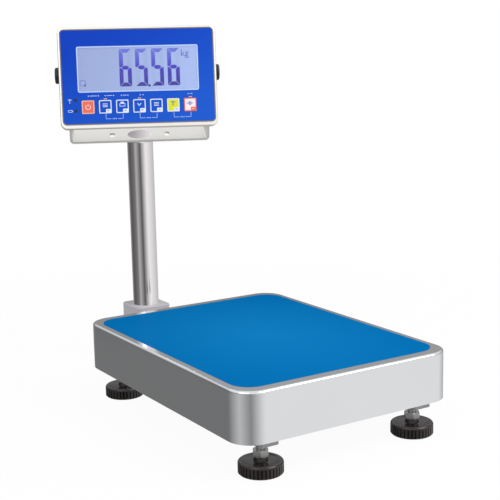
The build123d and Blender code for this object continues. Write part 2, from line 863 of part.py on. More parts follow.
def make_gland():
    """A cable gland without its cable: flange, domed nut and a locknut inside."""
    bottom = case_centre_rise - case_height / 2
    shank = disc(gland_radius - fitting_shoulder, case_sheet + gland_thread)
    flange = Pos(0, 0, -gland_flange) * hexagon(2 * gland_radius, gland_flange)
    dome_bottom = -gland_flange - gland_dome
    dome = disc(gland_radius - fitting_shoulder / 2, gland_dome)
    dome = fillet(dome.edges().group_by(Axis.Z)[0], gland_dome_radius)
    inside_nut = Pos(0, 0, case_sheet) * hexagon(2 * gland_radius, gland_nut_height)
    gland = shank + flange + Pos(0, 0, dome_bottom) * dome + inside_nut
    gland -= Pos(0, 0, dome_bottom) * disc(gland_bore, case_sheet + gland_thread - dome_bottom)
    return Pos(gland_x, under_case_y(), bottom) * gland


def make_jack():
    """The charging socket in the case's underside."""
    bottom = case_centre_rise - case_height / 2
    body = disc(jack_radius - fitting_shoulder, jack_body)
    flange = Pos(0, 0, -jack_flange) * disc(jack_radius, jack_flange)
    hollow = Pos(0, 0, -jack_flange) * disc(jack_bore, jack_flange + jack_floor)
    pin_bottom = jack_pin_sink - jack_flange
    pin = Pos(0, 0, pin_bottom) * disc(jack_pin_radius, jack_floor - pin_bottom)
    jack = body + flange - hollow + pin
    return Pos(jack_x, under_case_y(), bottom) * jack


# Tilt knobs, on the knob axis with x pointing outwards from the case
def make_knob():
    """A fluted grip with a domed end and a metal insert hole."""
    grip = disc(knob_radius, knob_length)
    grip = fillet(grip.edges().group_by(Axis.Z)[-1], knob_dome_radius)
    groove_x = knob_radius + knob_flute_radius - knob_flute_depth
    groove = Pos(groove_x, 0, 0) * disc(knob_flute_radius, knob_length - knob_end)
    grip -= [place * groove for place in PolarLocations(0, knob_flute_count)]
    return grip - disc(knob_stud_radius + running_fit, knob_length - knob_end)


def place_on_side(side, shape):
    """Turns a shape drawn along +Z to point outwards from the bracket's arm."""
    x = side * (bracket_width / 2 + washer_fit)
    return Pos(x, 0, 0) * Rot(0, 90 * side, 0) * shape


def make_knob_stud():
    inner = -(bracket_sheet + washer_thickness + knob_stud_reach)
    length = knob_length - knob_end - inner
    return Pos(0, 0, inner) * disc(knob_stud_radius, length)


def make_tilt_washers():
    bore = knob_stud_radius + screw_fit
    washer = ring(washer_radius, bore, washer_thickness)
    x = case_width / 2
    return [Pos(side * x, 0, 0) * Rot(0, 90 * side, 0) * washer for side in (-1, 1)]


# Every piece with the frame it stands in
pieces = {
    "pan": on_platform * make_pan(),
    "platform_cover": on_platform * make_cover(),
    "base_frame": on_platform * make_base_frame(),
    "load_cell": on_platform * make_load_cell(),
    "cell_base_spacer": on_platform * make_spacer(1, rail_top, base_spacer_height),
    "cell_top_spacer": on_platform * make_spacer(-1, cell_top, top_spacer_height),
    "cell_base_screws": as_group(on_platform, make_base_cell_screws()),
    "cell_top_screws": as_group(on_platform, make_top_cell_screws()),
    "load_frame": on_platform * make_spider(),
    "platform_pads": as_group(on_platform, make_pads()),
    "overload_stops": as_group(on_platform, make_stops()),
    "overload_stop_nuts": as_group(on_platform, make_stop_nuts()),
    "spirit_level_cup": on_platform * make_level_body(),
    "spirit_level_vial": on_platform * make_level_vial(),
    "column_carrier": on_platform * make_carrier(),
    "carrier_bolts": as_group(on_platform, make_carrier_bolts()),
    "carrier_nuts": as_group(on_platform, make_carrier_nuts()),
    "column_socket": on_column * make_socket(),
    "socket_screws": as_group(on_column, make_socket_screws()),
    "socket_clamp_screw": on_column * make_clamp_screw(),
    "column_tube": on_swivel * make_column_tube(),
    "column_weld_collar": on_bracket * make_weld_collar(),
    "indicator_bracket": on_bracket * make_bracket(),
    "indicator_bezel": on_panel * make_bezel(),
    "indicator_case": on_panel * make_case(),
    "case_screws": as_group(on_panel, make_case_screws()),
    "front_film": on_panel * make_film(),
    "key_membrane": on_panel * make_membrane(),
    "display_window": on_panel * make_window(),
    "display_module": on_panel * make_display(),
    "main_board": on_panel * make_board(),
    "board_posts": as_group(on_panel, make_board_posts()),
    "battery": on_panel * make_battery(),
    "battery_strap": on_panel * make_battery_strap(),
    "status_lamps": as_group(on_panel, make_lamps()),
    "lamp_board": on_panel * make_lamp_board(),
    "cable_gland": on_panel * make_gland(),
    "charging_socket": on_panel * make_jack(),
    "tilt_washers": as_group(on_knob_axis, make_tilt_washers()),
}

for number, x in enumerate(key_places(), start=1):
    pieces[f"key_{number}"] = on_panel * make_key(x)

for side, name in ((-1, "left"), (1, "right")):
    pieces[f"tilt_knob_{name}"] = on_knob_axis * place_on_side(side, make_knob())
    pieces[f"tilt_knob_stud_{name}"] = on_knob_axis * place_on_side(side, make_knob_stud())

foot_pad = make_foot_pad()
foot_stud = make_foot_stud()
foot_nut = make_foot_nut()
foot_names = {(-1, -1): "front_left", (1, -1): "front_right", (-1, 1): "rear_left", (1, 1): "rear_right"}
for (x_side, y_side), name in foot_names.items():
    place = on_platform * Pos(x_side * foot_spacing_x / 2, y_side * foot_spacing_y / 2, 0)
    pieces[f"foot_pad_{name}"] = place * foot_pad
    pieces[f"foot_stud_{name}"] = as_group(place, [foot_stud, foot_nut])

# The origin is on the floor, in the middle of the whole footprint
footprint = Compound(list(pieces.values())).bounding_box()
to_origin = Pos(-footprint.center().X, -footprint.center().Y, 0)

os.makedirs("parts", exist_ok=True)
for name, shape in pieces.items():
    moved = as_group(to_origin, shape.solids())
    export_step(moved if len(moved.solids()) > 1 else moved.solids()[0], f"parts/{name}.step")
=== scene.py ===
import json
import math

import bmesh
import bpy
from bpy.props import (
    FloatProperty,
    FloatVectorProperty,
    PointerProperty,
    StringProperty,
)
from mathutils import Matrix, Vector

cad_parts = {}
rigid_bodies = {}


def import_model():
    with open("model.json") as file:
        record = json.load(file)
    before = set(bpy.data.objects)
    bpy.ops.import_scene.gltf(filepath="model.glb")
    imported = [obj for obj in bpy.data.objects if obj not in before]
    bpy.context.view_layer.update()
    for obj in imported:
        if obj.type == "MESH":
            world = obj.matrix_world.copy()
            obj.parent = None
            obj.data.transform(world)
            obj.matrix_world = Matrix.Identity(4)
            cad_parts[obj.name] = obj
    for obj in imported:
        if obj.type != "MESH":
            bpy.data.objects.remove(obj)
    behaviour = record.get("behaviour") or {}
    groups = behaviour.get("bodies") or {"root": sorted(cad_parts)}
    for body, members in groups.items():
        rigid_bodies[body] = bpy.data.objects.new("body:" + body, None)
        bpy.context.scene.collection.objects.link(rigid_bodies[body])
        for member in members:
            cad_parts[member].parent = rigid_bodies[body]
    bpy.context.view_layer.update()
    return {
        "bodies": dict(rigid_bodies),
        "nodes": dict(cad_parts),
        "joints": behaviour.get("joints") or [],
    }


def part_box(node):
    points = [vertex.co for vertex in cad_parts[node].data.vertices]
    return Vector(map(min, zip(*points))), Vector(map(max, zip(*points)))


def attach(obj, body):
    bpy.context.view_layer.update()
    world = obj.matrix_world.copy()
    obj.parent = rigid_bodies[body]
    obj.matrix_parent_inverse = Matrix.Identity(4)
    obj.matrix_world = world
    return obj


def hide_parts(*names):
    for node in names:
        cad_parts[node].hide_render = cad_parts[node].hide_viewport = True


bl_info = {
    "name": "Platform Scale Finishes",
    "version": (1, 0, 0),
    "blender": (4, 5, 0),
    "location": "View3D > Sidebar > Scale",
    "description": "Finishes and printed details for a bench platform scale",
    "category": "Object",
}

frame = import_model()
joints = {joint["name"]: joint for joint in frame["joints"]}
MM = 0.001
FILM_WIDTH, FILM_HEIGHT, FILM_CORNER = 216.0 * MM, 133.5 * MM, 6.0 * MM
WINDOW_MIDDLE = 10.5 * MM
WINDOW_WIDTH, WINDOW_HEIGHT = 168.4 * MM, 62.0 * MM


def from_screen(red, green, blue):
    """A colour given as 0 to 255 on screen, as Blender's linear colour."""
    channels = [value / 255 for value in (red, green, blue)]
    return tuple(
        value / 12.92 if value <= 0.04045 else ((value + 0.055) / 1.055) ** 2.4
        for value in channels
    )


def colour(name, about, default):
    return FloatVectorProperty(
        name=name,
        description=about,
        subtype="COLOR",
        size=3,
        min=0.0,
        max=1.0,
        default=from_screen(*default),
    )


def length(name, about, default):
    return FloatProperty(
        name=name,
        description=about,
        default=default * MM,
        min=0.0,
        unit="LENGTH",
        precision=5,
    )


def share(name, about, default):
    return FloatProperty(
        name=name, description=about, default=default, min=0.0, max=1.0, subtype="FACTOR"
    )


class ScaleFinishes(bpy.types.PropertyGroup):
    """Colours and roughness of the metals, plastics and films."""

    pan_steel: colour("Pan steel", "Brushed stainless of the pan", (228, 229, 231))
    bracket_steel: colour("Bracket steel", "Satin stainless of the bracket", (240, 239, 235))
    tube_steel: colour("Tube steel", "Polished stainless of the column", (236, 232, 234))
    bezel_steel: colour("Bezel steel", "Stainless around the front film", (250, 246, 240))
    socket_paint: colour("Socket paint", "Grey paint of the column socket", (196, 193, 198))
    frame_paint: colour("Frame paint", "Silver paint of the base", (150, 150, 150))
    zinc: colour("Zinc", "Plated screws, nuts and studs", (158, 157, 156))
    cover_blue: colour("Cover blue", "Film on the pan", (0, 112, 180))
    # cover_sheen_blue is the lighter blue of a painted sheen towards the middle of the film on the
    # pan.
    cover_sheen_blue: colour("Cover blue, painted sheen", "Film on the pan in its middle", (16, 129, 197))
    film_blue: colour("Panel blue, top", "Graphic film at its upper left", (8, 64, 190))
    foot_black: colour("Foot black", "Moulded levelling pads", (30, 20, 20))
    knob_black: colour("Knob black", "Moulded tilt knobs", (30, 30, 31))
    # The film's edge line is painted shadow: a thin brownish line where the film meets the bezel.
    film_edge_shadow: colour("Film edge shadow", "Painted shadow line round the graphic film", (122, 112, 94))
    film_low: colour("Panel blue, bottom", "Graphic film at its lower right", (28, 92, 208))
    steel_roughness: share("Steel roughness", "Roughness of brushed stainless", 0.1)
    cover_roughness: share("Cover roughness", "Roughness of the film on the pan", 0.45)


class ScaleArtwork(bpy.types.PropertyGroup):
    """Sizes and colours of the display and of what is printed on the film."""

    reading: StringProperty(name="Reading", description="Digits on the display", default="65.56")
    digit_width: length("Digit width", "Width of one digit", 17.2)
    digit_height: length("Digit height", "Height of one digit", 52.4)
    digit_pitch: length("Digit pitch", "From one digit to the next", 22.6)
    segment_width: length("Segment width", "Width of a digit's strokes", 5.5)
    print_thickness: length("Print thickness", "Thickness of an ink layer", 0.06)
    line_width: length("Line width", "Width of the printed lines", 0.55)
    key_border: length("Key border", "White edge of a key", 1.3)
    key_corner: length("Key corner", "Corner radius of a key", 2.0)
    # The digits run from ink_deep at the foot to ink_pale at the top, in part a painted shade from the
    # angle of view.
    ink_pale: colour("Ink, top", "Digits where they look pale", (104, 116, 222))
    ink_deep: colour("Ink, bottom", "Digits where they look deep", (52, 44, 168))
    glass_blue: colour("Display ground, left", "Ground of the display", (148, 164, 210))
    glass_light: colour("Display ground, right", "Ground of the display", (164, 185, 236))
    unit_ink: colour("Unit ink", "Unit and corner mark of the display", (84, 90, 190))
    print_white: colour("Print white", "White ink on the film", (232, 240, 255))
    print_pale: colour("Print pale", "Pale blue ink of the thin lines", (196, 217, 253))
    key_orange: colour("Key orange", "First key", (244, 108, 78))
    key_yellow: colour("Key yellow", "Sixth key", (226, 232, 22))
    key_rose: colour("Key rose", "Seventh key", (252, 238, 240))


class ScaleStage(bpy.types.PropertyGroup):
    """Camera, lamps and floor."""

    focal_length: FloatProperty(
        name="Focal length",
        description="Lens of the camera, in millimetres",
        default=80.84,
        min=10.0,
        unit="CAMERA",
    )
    turn: FloatProperty(
        name="Turn", description="Heading of the camera", default=0.5612003, unit="ROTATION"
    )
    look_down: FloatProperty(
        name="Look down", description="Angle below the horizon", default=0.186875, unit="ROTATION"
    )
    roll: FloatProperty(
        name="Roll", description="Turn about the view", default=0.0205547, unit="ROTATION"
    )
    place: FloatVectorProperty(
        name="Place",
        description="Where the camera stands, from the middle of the pan's top",
        size=3,
        unit="LENGTH",
        subtype="TRANSLATION",
        default=(-0.746828, -1.171775, 0.372350),
    )
    floor_width: FloatProperty(
        name="Floor width", description="Side of the floor", default=9.0, unit="LENGTH"
    )
    fill: share("Fill", "Strength of the light from all round", 0.62)
    paper: share("Paper", "How white the floor looks where the object shades it", 0.95)


# Shader maths
class Wire:
    """An output of a node that adds maths nodes when it is used in an expression."""

    def __init__(self, finish, socket):
        self.finish = finish
        self.socket = socket

    def out(self, name):
        return Wire(self.finish, self.socket.node.outputs[name])

    def maths(self, operation, *values):
        sockets = dict(enumerate(values))
        return self.finish.add("ShaderNodeMath", {"operation": operation}, sockets)

    def __add__(self, other):
        return self.maths("ADD", self, other)

    def __radd__(self, other):
        return self.maths("ADD", other, self)

    def __sub__(self, other):
        return self.maths("SUBTRACT", self, other)

    def __rsub__(self, other):
        return self.maths("SUBTRACT", other, self)

    def __mul__(self, other):
        return self.maths("MULTIPLY", self, other)

    def __rmul__(self, other):
        return self.maths("MULTIPLY", other, self)

    def __truediv__(self, other):
        return self.maths("DIVIDE", self, other)


class NodeWork:
    """Adds nodes to a tree, and sets or links their sockets."""

    def __init__(self, tree):
        self.tree = tree

    def plug(self, socket, value):
        if isinstance(value, Wire):
            self.tree.links.new(value.socket, socket)
        elif socket.type == "RGBA" and len(value) == 3:
            socket.default_value = (*value, 1.0)
        else:
            socket.default_value = value

    def add(self, kind, settings=None, sockets=None, output=0):
        node = self.tree.nodes.new(kind)
        for name, value in (settings or {}).items():
            if name == "stops":
                self.set_stops(node.color_ramp, value)
            else:
                setattr(node, name, value)
        for name, value in (sockets or {}).items():
            self.plug(node.inputs[name], value)
        return Wire(self, node.outputs[output])

    def set_stops(self, ramp, stops):
        while len(ramp.elements) < len(stops):
            ramp.elements.new(0.5)
        for element, (position, value) in zip(ramp.elements, stops):
            element.position = position
            element.color = (*value, 1.0)

    def mix(self, factor, first, second):
        return self.add(
            "ShaderNodeMix", {"data_type": "RGBA"}, {0: factor, 6: first, 7: second}, output=2
        )

    def soft_step(self, value, low, high):
        """Rises smoothly from 0 at low to 1 at high."""
        return self.add(
            "ShaderNodeMapRange",
            {"interpolation_type": "SMOOTHSTEP"},
            {"Value": value, "From Min": low, "From Max": high},
        )

    def along(self, vector, axis):
        """How far a vector reaches along an axis."""
        sockets = {0: vector, 1: axis}
        return self.add("ShaderNodeVectorMath", {"operation": "DOT_PRODUCT"}, sockets, "Value")


class Finish(NodeWork):
    """A material in the making."""

    def __init__(self, name, **shader):
        self.material = bpy.data.materials.new(name)
        self.material.use_nodes = True
        super().__init__(self.material.node_tree)
        self.shader = self.tree.nodes["Principled BSDF"]
        self.set(**shader)

    def set(self, **sockets):
        """Sets the shader's sockets, with _ for a space in their names."""
        for name, value in sockets.items():
            self.plug(self.shader.inputs[name.replace("_", " ")], value)

    def place(self, scale=(1, 1, 1), centre=(0, 0, 0), turn=(0, 0, 0)):
        """Object coordinates, centred, turned and stretched."""
        point = self.add("ShaderNodeTexCoord").out("Object")
        return self.add(
            "ShaderNodeMapping",
            {"vector_type": "TEXTURE"},
            {"Vector": point, "Location": centre, "Rotation": turn, "Scale": scale},
        )

    def noise(self, where, scale, detail=3.0, roughness=0.5):
        sockets = {"Vector": where, "Scale": scale, "Detail": detail, "Roughness": roughness}
        return self.add("ShaderNodeTexNoise", None, sockets)

    def across_panel(self):
        """Place on the panel: x and y from -1 to 1 over the film."""
        half = (FILM_WIDTH / 2, FILM_HEIGHT / 2, 1.0)
        return self.place(half, tuple(PANEL.translation), tuple(PANEL.to_euler()))

    def blend_numbers(self, factor, low, high):
        return low + factor * (high - low)

    def bump(self, height, depth, strength):
        sockets = {"Height": height, "Distance": depth, "Strength": strength}
        self.set(Normal=self.add("ShaderNodeBump", None, sockets))


def tinted(rgb, factor):
    return tuple(min(1.0, channel * factor) for channel in rgb)


# Finishes
def brushed_steel(name, rgb, roughness, along):
    """Stainless with fine grinding lines along one axis."""
    finish = Finish(name, Metallic=1.0)
    stretch = {"X": (0.12, 0.0012, 0.0012), "Y": (0.0012, 0.12, 0.0012), "Z": (0.0012, 0.0012, 0.12)}
    lines = finish.noise(finish.place(stretch[along]), 1.0, 4.0, 0.65)
    clouds = finish.noise(finish.place((0.09, 0.09, 0.09)), 1.0, 2.0)
    tone = lines * 0.5 + clouds * 0.5
    finish.set(
        Base_Color=finish.mix(tone, tinted(rgb, 0.95), tinted(rgb, 1.04)),
        Roughness=finish.blend_numbers(lines, roughness - 0.05, roughness + 0.05),
    )
    finish.bump(lines, 0.00001, 0.2)
    return finish.material


BORE_LIMIT = 17.8 * MM


def polished_tube(name, rgb):
    """Polished outside with faint lines along it. Within the bore's limit it is matt, with painted
    shade that runs from dark at the camera's left to light at its right, and the same colours glow as
    painted light.
    """
    low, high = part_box("column_tube")
    middle = (low + high) / 2
    finish = Finish(name)
    lines = finish.noise(finish.place((0.0015, 0.0015, 0.25)), 1.0, 4.0, 0.6)
    haze = finish.noise(finish.place((0.03, 0.03, 0.08)), 1.0, 3.0)
    spot = finish.place(centre=(middle.x, middle.y, 0.0))
    x, y = finish.along(spot, (1, 0, 0)), finish.along(spot, (0, 1, 0))
    outside = finish.soft_step(x * x + y * y, BORE_LIMIT**2 * 0.98, BORE_LIMIT**2 * 1.02)
    polished = finish.mix(haze, tinted(rgb, 0.97), rgb)
    # The bore's painted shade runs along this direction, across the tube as the camera sees it.
    camera_right = (0.85, -0.53, 0.0)
    painted_bore_shade = finish.soft_step(finish.along(spot, camera_right), -BORE_LIMIT, BORE_LIMIT)
    bore_painted_light = finish.mix(painted_bore_shade, tinted(rgb, 0.5), tinted(rgb, 1.2))
    # Within the bore: painted shade and painted light in the base colour, and the same painted light
    # as a glow through emission.
    finish.set(
        Base_Color=finish.mix(outside, bore_painted_light, polished),
        Metallic=outside,
        Roughness=finish.blend_numbers(outside, 0.5, finish.blend_numbers(lines, 0.03, 0.08)),
        Emission_Color=finish.mix(outside, bore_painted_light, (0.0, 0.0, 0.0)),
        Emission_Strength=0.3,
    )
    finish.bump(lines, 0.00001, 0.12)
    return finish.material


def satin_paint(name, rgb, roughness, metallic=0.0):
    """Sprayed paint with a fine orange peel."""
    finish = Finish(name, Metallic=metallic)
    peel = finish.noise(finish.place((0.0016, 0.0016, 0.0016)), 1.0, 2.0)
    dust = finish.noise(finish.place((0.03, 0.03, 0.03)), 1.0, 4.0, 0.6)
    finish.set(
        Base_Color=finish.mix(dust, tinted(rgb, 0.9), tinted(rgb, 1.08)),
        Roughness=finish.blend_numbers(dust, roughness - 0.06, roughness + 0.08),
    )
    finish.bump(peel, 0.00003, 0.4)
    return finish.material


def plated(name, rgb, roughness):
    """Zinc plating with a cloudy tone."""
    finish = Finish(name, Metallic=1.0)
    cloud = finish.noise(finish.place((0.004, 0.004, 0.004)), 1.0, 3.0, 0.6)
    finish.set(
        Base_Color=finish.mix(cloud, tinted(rgb, 0.86), tinted(rgb, 1.06)),
        Roughness=finish.blend_numbers(cloud, roughness - 0.08, roughness + 0.12),
    )
    finish.bump(cloud, 0.00002, 0.25)
    return finish.material


def moulded(name, rgb, roughness, grain=0.0006):
    """Moulded plastic or rubber with a fine spark-eroded grain."""
    finish = Finish(name)
    grit = finish.noise(finish.place((grain, grain, grain)), 1.0, 2.0, 0.6)
    wear = finish.noise(finish.place((0.018, 0.018, 0.018)), 1.0, 4.0, 0.6)
    finish.set(
        Base_Color=finish.mix(wear, tinted(rgb, 0.8), tinted(rgb, 1.3)),
        Roughness=finish.blend_numbers(wear, roughness - 0.08, roughness + 0.1),
    )
    finish.bump(grit, 0.00004, 0.35)
    return finish.material


def cover_sheet(name, edge, middle, roughness):
    """Satin film on the pan, with a painted sheen that makes it lighter in its middle, and with the
    faint peel of a laminate.
    """
    low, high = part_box("platform_cover")
    centre = (low + high) / 2
    half = (high - low) / 2
    finish = Finish(name, Specular_IOR_Level=0.0, Coat_Weight=0.015, Coat_Roughness=0.2)
    spot = finish.place((half.x * 1.35, half.y * 1.35, 1.0), tuple(centre))
    # Painted sheen: a spherical gradient that lightens the film towards its middle.
    painted_sheen = finish.add("ShaderNodeTexGradient", {"gradient_type": "SPHERICAL"}, {"Vector": spot})
    grain = finish.noise(finish.place((0.0011, 0.0011, 0.0011)), 1.0, 2.0)
    cloud = finish.noise(finish.place((0.11, 0.11, 0.11)), 1.0, 2.0)
    tone = painted_sheen * 0.9 + cloud * 0.2 - 0.1
    finish.set(
        Base_Color=finish.mix(tone, edge, middle),
        Roughness=finish.blend_numbers(grain, roughness - 0.05, roughness + 0.08),
    )
    finish.bump(grain, 0.00002, 0.3)
    return finish.material


def ink(name, rgb, roughness=0.4):
    """Screen-printed ink with a slightly uneven film."""
    finish = Finish(name)
    cloud = finish.noise(finish.place((0.004, 0.004, 0.004)), 1.0, 3.0)
    finish.set(
        Base_Color=finish.mix(cloud, tinted(rgb, 0.96), tinted(rgb, 1.02)),
        Roughness=finish.blend_numbers(cloud, roughness - 0.05, roughness + 0.05),
    )
    return finish.material


def film_ink(name, upper, lower):
    """The film's printed blue, deeper towards its upper left."""
    finish = Finish(name, Specular_IOR_Level=0.12)
    where = finish.across_panel()
    rise = finish.along(where, (0.22, -0.3, 0.0)) + 0.46
    grain = finish.noise(finish.place((0.0009, 0.0009, 0.0009)), 1.0, 2.0)
    finish.set(
        Base_Color=finish.mix(finish.soft_step(rise, 0.0, 1.0), upper, lower),
        Roughness=finish.blend_numbers(grain, 0.36, 0.5),
    )
    finish.bump(grain, 0.00001, 0.25)
    return finish.material


def circuit_board(name):
    """Green lacquer over a net of traces."""
    finish = Finish(name)
    traces = finish.add(
        "ShaderNodeTexBrick",
        None,
        {
            "Vector": finish.place((0.02, 0.02, 0.02)),
            "Color1": from_screen(14, 92, 46),
            "Color2": from_screen(18, 104, 52),
            "Mortar": from_screen(60, 140, 80),
            "Scale": 4.0,
            "Mortar Size": 0.03,
        },
    )
    cloud = finish.noise(finish.place((0.006, 0.006, 0.006)), 1.0, 3.0)
    finish.set(
        Base_Color=traces,
        Roughness=finish.blend_numbers(cloud, 0.3, 0.45),
    )
    return finish.material


def clear_glass(name, rgb):
    """The tinted clear body of the level's vial."""
    finish = Finish(name, Transmission_Weight=1.0, IOR=1.3, Specular_IOR_Level=0.35)
    smear = finish.noise(finish.place((0.05, 0.05, 0.05)), 1.0, 2.0)
    finish.set(Base_Color=rgb, Roughness=finish.blend_numbers(smear, 0.01, 0.05))
    return finish.material


def clear_window(name):
    """The display's thin clear window: nearly invisible but for its gloss."""
    finish = Finish(name, Base_Color=(0.9, 0.93, 1.0), Specular_IOR_Level=0.4)
    smear = finish.noise(finish.place((0.05, 0.05, 0.05)), 1.0, 2.0)
    finish.set(
        Roughness=finish.blend_numbers(smear, 0.05, 0.12),
        Alpha=finish.blend_numbers(smear, 0.05, 0.07),
    )
    return finish.material


def display_ground(name, left, right):
    """The lit ground of the display, darker towards its left."""
    finish = Finish(name, Roughness=0.3, Specular_IOR_Level=0.2, Emission_Strength=0.55)
    across = finish.along(finish.across_panel(), (0.7, -0.2, 0.0)) + 0.5
    cloud = finish.noise(finish.place((0.02, 0.02, 0.02)), 1.0, 2.0)
    tone = across * 0.9 + cloud * 0.2 - 0.05
    shade = finish.mix(tone, left, right)
    finish.set(Base_Color=finish.mix(0.5, shade, (0.0, 0.0, 0.0)), Emission_Color=shade)
    return finish.material


def display_ink(name, deep, pale, low, high):
    """Liquid crystal strokes, deep at the foot of the display and pale at its top: in part painted
    shade from the angle at which the display is seen, in part the strokes' own tone.
    """
    finish = Finish(name, Roughness=0.6, Specular_IOR_Level=0.0, Emission_Strength=0.7)
    rise = (finish.along(finish.place(), (0, 0, 1)) - low) / (high - low)
    # Painted shade, in part: darkest at the foot of the strokes and palest at their top.
    stops = [(0.0, tinted(deep, 0.8)), (0.5, tinted(deep, 1.3)), (1.0, pale)]
    tone = finish.add("ShaderNodeValToRGB", {"stops": stops}, {"Fac": rise})
    finish.set(Base_Color=finish.mix(0.7, tone, (0.0, 0.0, 0.0)), Emission_Color=tone)
    return finish.material


# Shapes
def panel_matrix():
    """From the panel's own axes, x right, y up and z towards the operator, to the frame."""
    into = Vector(joints["key_1_press"]["axis"]).normalized()
    right = Vector(joints["indicator_tilt"]["axis"]).normalized()
    up = right.cross(into)
    film = [vertex.co for vertex in frame["nodes"]["front_film"].data.vertices]
    face = max(-into.dot(point) for point in film)
    centre_x = (max(right.dot(p) for p in film) + min(right.dot(p) for p in film)) / 2
    centre_y = (max(up.dot(p) for p in film) + min(up.dot(p) for p in film)) / 2
    origin = right * centre_x + up * centre_y - into * face
    return Matrix(
        (
            (right.x, up.x, -into.x, origin.x),
            (right.y, up.y, -into.y, origin.y),
            (right.z, up.z, -into.z, origin.z),
            (0.0, 0.0, 0.0, 1.0),
        )
    )


PANEL = panel_matrix()


def finish_piece(name, shape, materials, body, place=None):
    """Makes an object of a bmesh, in its place in the frame, and lets it ride on a body."""
    if place is not None:
        bmesh.ops.transform(shape, matrix=place, verts=shape.verts)
    mesh = bpy.data.meshes.new(name)
    shape.to_mesh(mesh)
    shape.free()
    for material in materials:
        mesh.materials.append(material)
    piece = bpy.data.objects.new(name, mesh)
    bpy.context.scene.collection.objects.link(piece)
    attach(piece, body)
    return piece


def thicken(shape, faces, height):
    """Extrudes flat faces upwards, and keeps their undersides so that the form is closed."""
    made = bmesh.ops.extrude_face_region(shape, geom=faces, use_keep_orig=True)
    top = [item for item in made["geom"] if isinstance(item, bmesh.types.BMVert)]
    bmesh.ops.translate(shape, vec=(0, 0, height), verts=top)
    bmesh.ops.recalc_face_normals(shape, faces=shape.faces)


def flat_plate(width, height, radius=0.0):
    """A flat rounded rectangle about the origin, as a new bmesh."""
    shape = bmesh.new()
    bmesh.ops.create_grid(shape, x_segments=1, y_segments=1, size=0.5)
    bmesh.ops.scale(shape, vec=(width, height, 1), verts=shape.verts)
    if radius:
        bmesh.ops.bevel(
            shape,
            geom=shape.verts[:],
            offset=radius,
            offset_type="OFFSET",
            segments=6,
            profile=0.5,
            affect="VERTICES",
            material=-1,
        )
    return shape


def lay(shape, thickness, at, material=0, turn=0.0):
    """Thickens a flat shape to a layer of ink, in its material and place on the panel."""
    thicken(shape, shape.faces[:], thickness)
    for face in shape.faces:
        face.material_index = material
    matrix = Matrix.Translation(at) @ Matrix.Rotation(turn, 4, "Z")
    bmesh.ops.transform(shape, matrix=matrix, verts=shape.verts)
    return shape


def join_shapes(shapes):
    """One bmesh of several."""
    whole = bmesh.new()
    for shape in shapes:
        mesh = bpy.data.meshes.new("part")
        shape.to_mesh(mesh)
        shape.free()
        whole.from_mesh(mesh)
        bpy.data.meshes.remove(mesh)
    return whole


def plate(width, height, thickness, radius=0.0, at=(0, 0, 0), turn=0.0, material=0):
    """A thin printed plate, moved to its place on the panel. Sizes in metres."""
    return lay(flat_plate(width, height, radius), thickness, at, material, turn)


def border(width, height, line, thickness, radius, at, material=0):
    """A printed outline with rounded corners."""
    shape = flat_plate(width, height, radius)
    ring = bmesh.ops.inset_region(
        shape, faces=shape.faces[:], thickness=line, use_boundary=True, use_even_offset=True
    )
    inner = [face for face in shape.faces if face not in ring["faces"]]
    bmesh.ops.delete(shape, geom=inner, context="FACES")
    return lay(shape, thickness, at, material)


def dot(radius, thickness, at):
    shape = bmesh.new()
    bmesh.ops.create_circle(shape, cap_ends=True, radius=radius, segments=20)
    return lay(shape, thickness, at)


def arc(radius, line, start, end, thickness, at, material=0):
    """A bent stroke: one edge spun about the origin and thickened."""
    shape = bmesh.new()
    first = shape.verts.new((radius - line / 2, 0, 0))
    second = shape.verts.new((radius + line / 2, 0, 0))
    edge = shape.edges.new((first, second))
    bmesh.ops.rotate(shape, matrix=Matrix.Rotation(start, 3, "Z"), verts=shape.verts)
    bmesh.ops.spin(
        shape, geom=[first, second, edge], angle=end - start, steps=12, axis=(0, 0, 1)
    )
    return lay(shape, thickness, at, material)


def letters(text, size, bolder, thickness, at):
    """Plain lettering as a mesh, centred on its place."""
    curve = bpy.data.curves.new("letters", "FONT")
    curve.body = text
    curve.size = size
    curve.offset = bolder
    curve.align_x = "CENTER"
    curve.align_y = "CENTER"
    carrier = bpy.data.objects.new("letters", curve)
    bpy.context.scene.collection.objects.link(carrier)
    bpy.context.view_layer.update()
    mesh = bpy.data.meshes.new_from_object(carrier)
    shape = bmesh.new()
    shape.from_mesh(mesh)
    bpy.data.objects.remove(carrier)
    bpy.data.curves.remove(curve)
    bpy.data.meshes.remove(mesh)
    bmesh.ops.remove_doubles(shape, verts=shape.verts, dist=1e-7)
    return lay(shape, thickness, at)


# Digits
SEGMENTS_OF = {"5": "afgcd", "6": "afgecd"}
GROUND_DEPTH, INK_DEPTH = -1.25 * MM, -1.17 * MM
FIRST_DIGIT, DIGITS_MIDDLE = -17.5 * MM, 12.0 * MM
STROKE_GAP = 1.1 * MM
POINT_SIZE, POINT_SHIFT, POINT_HEIGHT = 3.2 * MM, 1.0 * MM, -13.6 * MM


def stroke_form(letter, width, height, stroke):
    """Middle and size of one stroke of a digit, and how far its corners are cut back."""
    side = 1 if letter in "bc" else -1
    up = 1 if letter in "afb" else -1
    across = width - stroke
    half = (height - stroke) / 2
    if letter == "g":
        corner_cuts = {(x, y): stroke / 2 for x in (-1, 1) for y in (-1, 1)}
        return (0, 0), (across, stroke), corner_cuts
    if letter in "ad":
        return (0, up * half), (width, stroke), {(x, -up): stroke for x in (-1, 1)}
    middle = (side * across / 2, up * height / 4)
    return middle, (stroke, height / 2), {(-side, up): stroke, (-side, -up): stroke / 2}


